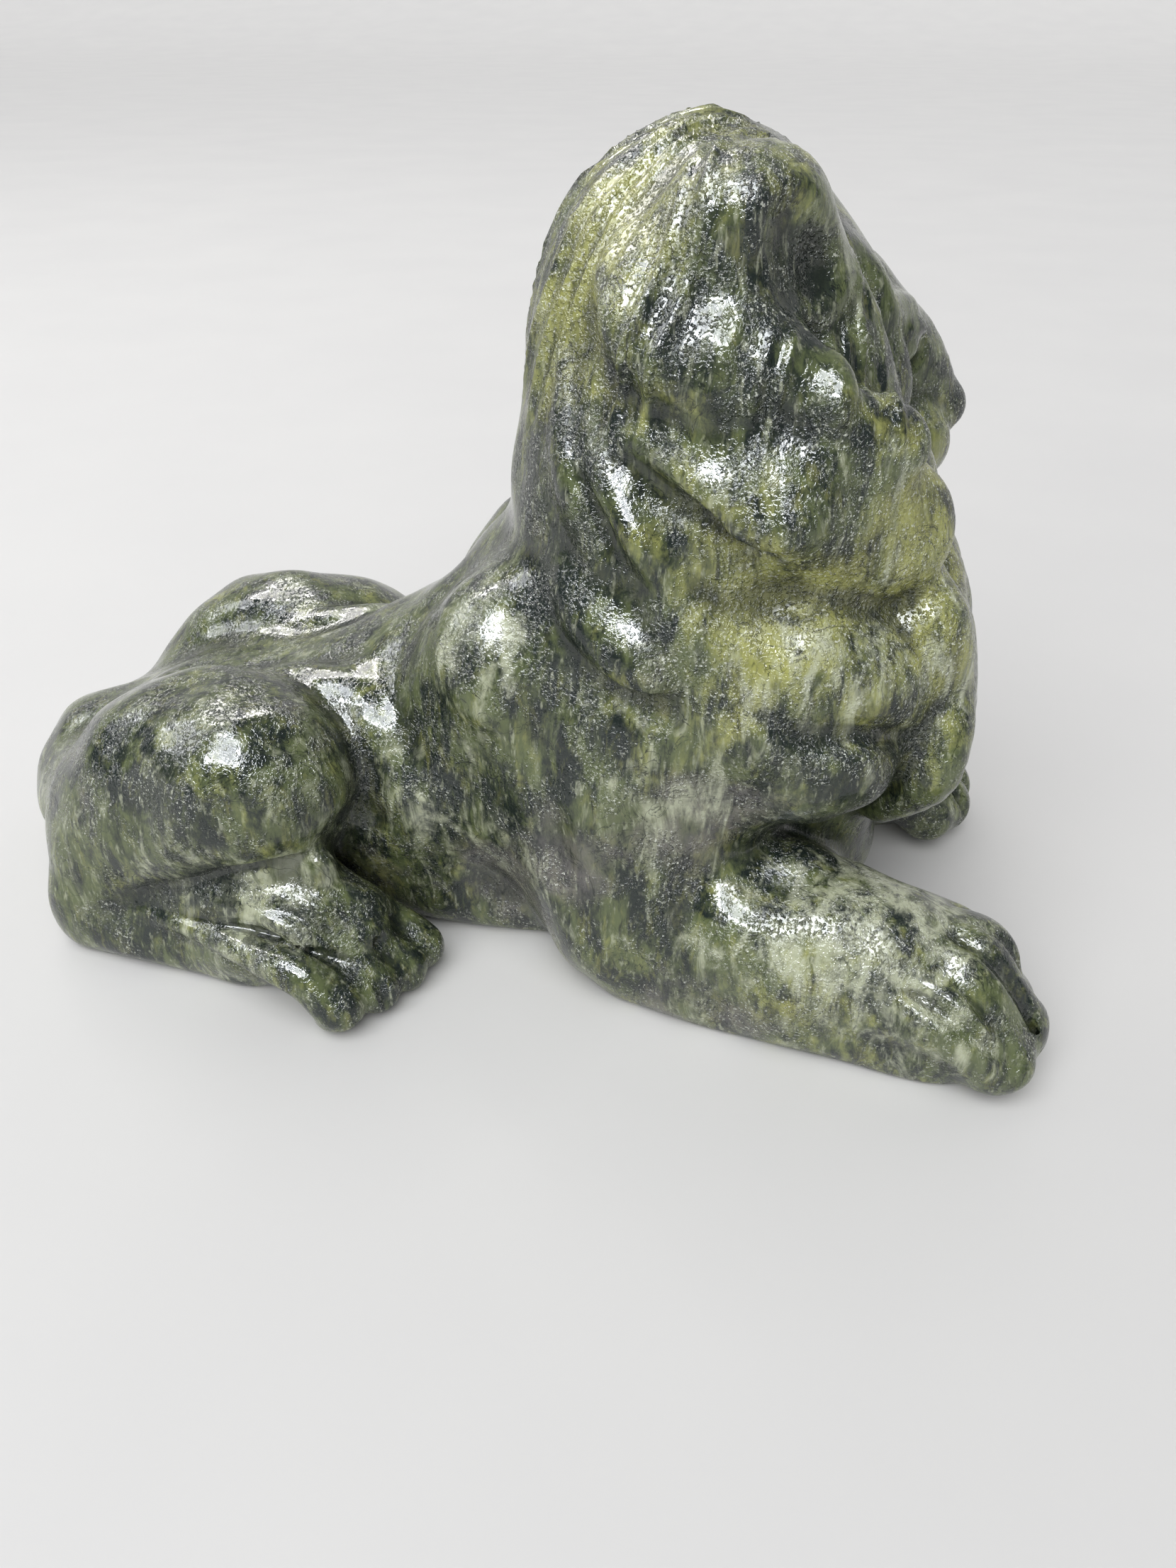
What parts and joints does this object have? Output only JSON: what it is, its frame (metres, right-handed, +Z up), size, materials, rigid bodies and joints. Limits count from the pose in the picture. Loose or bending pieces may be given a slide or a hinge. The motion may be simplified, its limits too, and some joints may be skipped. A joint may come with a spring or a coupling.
{
  "type": "jade lion figurine",
  "caption": "Reclining lion carved from one piece of mottled green jade, head turned to its left, long wavy mane, forepaws stretched forward, flat underside to rest on.",
  "frame": {"origin": "on the supporting surface, under the middle of the carving's bounding box", "axes": "+X the way the lion's body and forepaws point, +Y the lion's left, towards which its head turns, +Z up"},
  "size_m": [0.1563, 0.0812, 0.1077],
  "materials": {
    "jade": "polished, mottled green serpentine jade with dark veins and pale clouds"
  },
  "bodies": {
    "root": {"carved_lion": "jade"}
  },
  "joints": []
}
